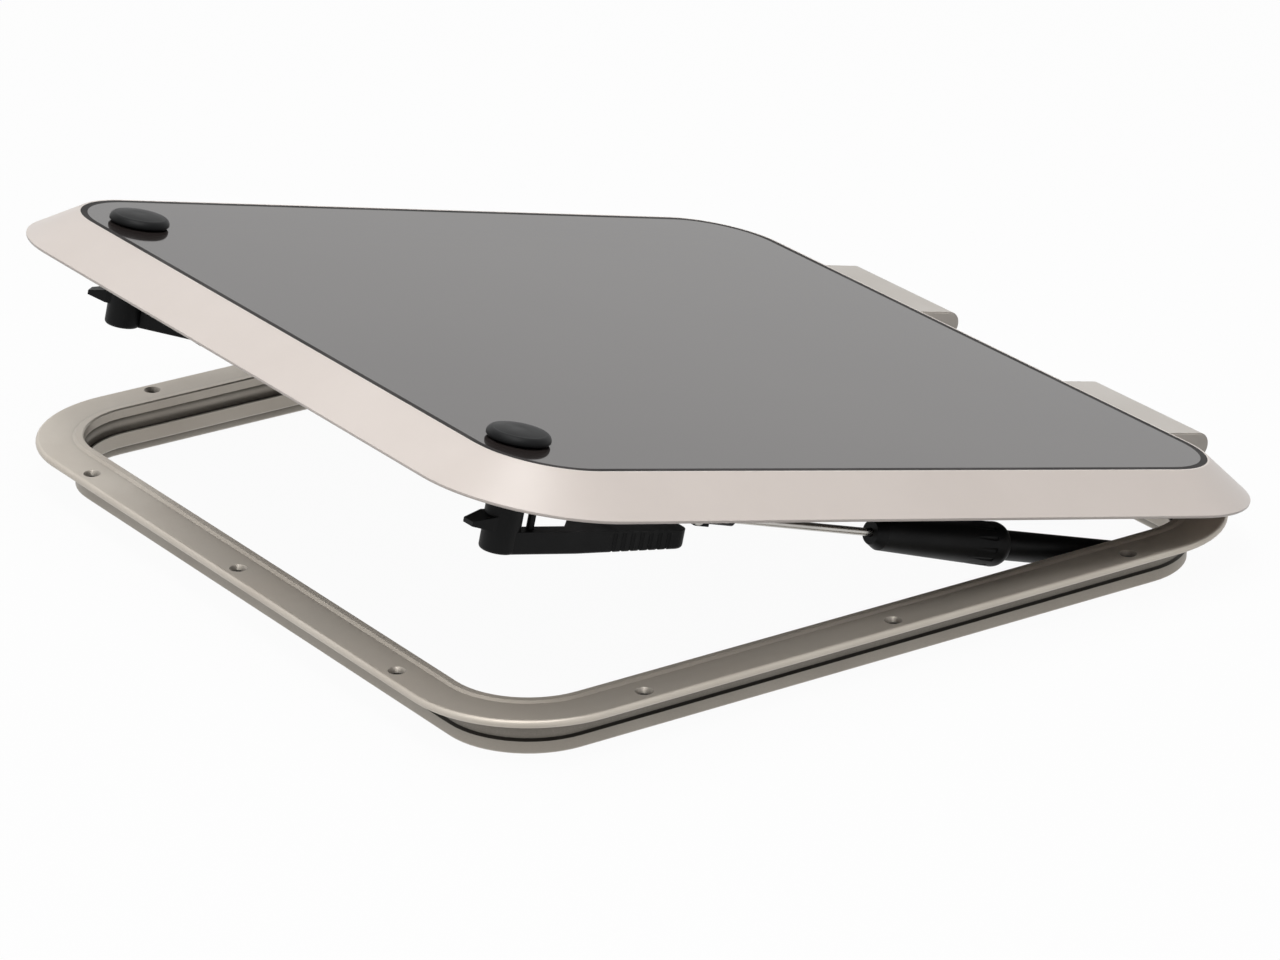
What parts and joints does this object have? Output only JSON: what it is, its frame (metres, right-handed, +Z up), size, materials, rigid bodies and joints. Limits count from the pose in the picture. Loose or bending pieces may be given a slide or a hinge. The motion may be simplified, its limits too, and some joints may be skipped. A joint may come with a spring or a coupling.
{
  "type": "deck hatch",
  "caption": "Square flush deck hatch: smoked acrylic lens in a bevelled painted lid, aluminium deck frame, latch handles that work from both sides, telescopic stay, shown part open.",
  "frame": {"origin": "centre of the opening in the plane of the flange's underside, where it meets the deck", "axes": "+Z up out of the deck, -Y towards the front edge with the handles, +Y towards the hinges, +X towards the side with the stay"},
  "size_m": [0.5724, 0.5828, 0.1744],
  "materials": {
    "base": "satin",
    "lid_paint": "satin",
    "lens": "gloss",
    "sealant": "satin",
    "seal": "matte",
    "black_nylon": "satin",
    "white_nylon": "satin",
    "steel": "brushed",
    "rod": "satin"
  },
  "bodies": {
    "base": {"base_frame": "base", "hinge_base_left": "steel", "hinge_base_right": "steel", "hinge_base_screws": "steel", "hinge_pin_left": "steel", "hinge_pin_right": "steel", "stay_base_bracket": "black_nylon", "stay_base_rivets": "steel"},
    "lid": {"lid_frame": "lid_paint", "lens": "lens", "lens_sealant": "sealant", "lid_seal": "seal", "hinge_leaf_left": "lid_paint", "hinge_leaf_right": "lid_paint", "hinge_leaf_screws": "steel", "hinge_bushes": "white_nylon", "hinge_cover_left": "lid_paint", "hinge_cover_right": "lid_paint", "handle_bush_left": "black_nylon", "handle_bush_right": "black_nylon", "knob_washers": "black_nylon", "stay_lid_bracket": "black_nylon", "stay_lid_screws": "steel", "stay_lid_pin": "steel"},
    "handle_left": {"knob_left": "black_nylon", "spindle_left": "black_nylon", "spindle_seal_left": "seal", "hub_sleeve_left": "black_nylon", "latch_dog_left": "black_nylon", "lever_left": "black_nylon", "handle_screw_left": "steel"},
    "handle_right": {"knob_right": "black_nylon", "spindle_right": "black_nylon", "spindle_seal_right": "seal", "hub_sleeve_right": "black_nylon", "latch_dog_right": "black_nylon", "lever_right": "black_nylon", "handle_screw_right": "steel"},
    "stay_inner": {"stay_rod_eye": "black_nylon", "stay_rod": "rod", "stay_rod_guide": "white_nylon"},
    "stay_outer": {"stay_tube": "black_nylon", "stay_collet": "white_nylon", "stay_tube_end": "black_nylon", "stay_tube_pin": "steel"},
    "stay_lock": {"stay_grip": "black_nylon"}
  },
  "joints": [
    {"name": "lid_hinge", "type": "hinge", "parent": "base", "child": "lid", "pos_m": [0, 0.2985, 0.0105], "axis": [-1, 0, 0], "range_deg": [-12.8, 62.2]},
    {"name": "handle_turn_left", "type": "hinge", "parent": "lid", "child": "handle_left", "pos_m": [-0.204, -0.20964, 0.14], "axis": [0, 0.2215, 0.9751], "range_deg": [-45, 45]},
    {"name": "handle_turn_right", "type": "hinge", "parent": "lid", "child": "handle_right", "pos_m": [0.204, -0.20964, 0.14], "axis": [0, 0.2215, 0.9751], "range_deg": [0, 90]},
    {"name": "stay_pivot", "type": "hinge", "parent": "lid", "child": "stay_inner", "pos_m": [0.228, -0.10953, 0.08095], "axis": [-1, 0, 0], "range_deg": [-1.4, 6.6]},
    {"name": "stay_slide", "type": "slide", "parent": "stay_inner", "child": "stay_outer", "axis": [0, 0.9523, -0.3051], "range_m": [-0.0204, 0.099]},
    {"name": "stay_lock_turn", "type": "hinge", "parent": "stay_outer", "child": "stay_lock", "pos_m": [0.228, -0.10953, 0.08095], "axis": [0, 0.9523, -0.3051], "range_deg": [0, 90]}
  ],
  "couplings": [
    {"joint": "stay_pivot", "follows": "lid_hinge", "ratio": 0.097218},
    {"joint": "stay_slide", "follows": "lid_hinge", "m_per_rad": 0.090731}
  ]
}
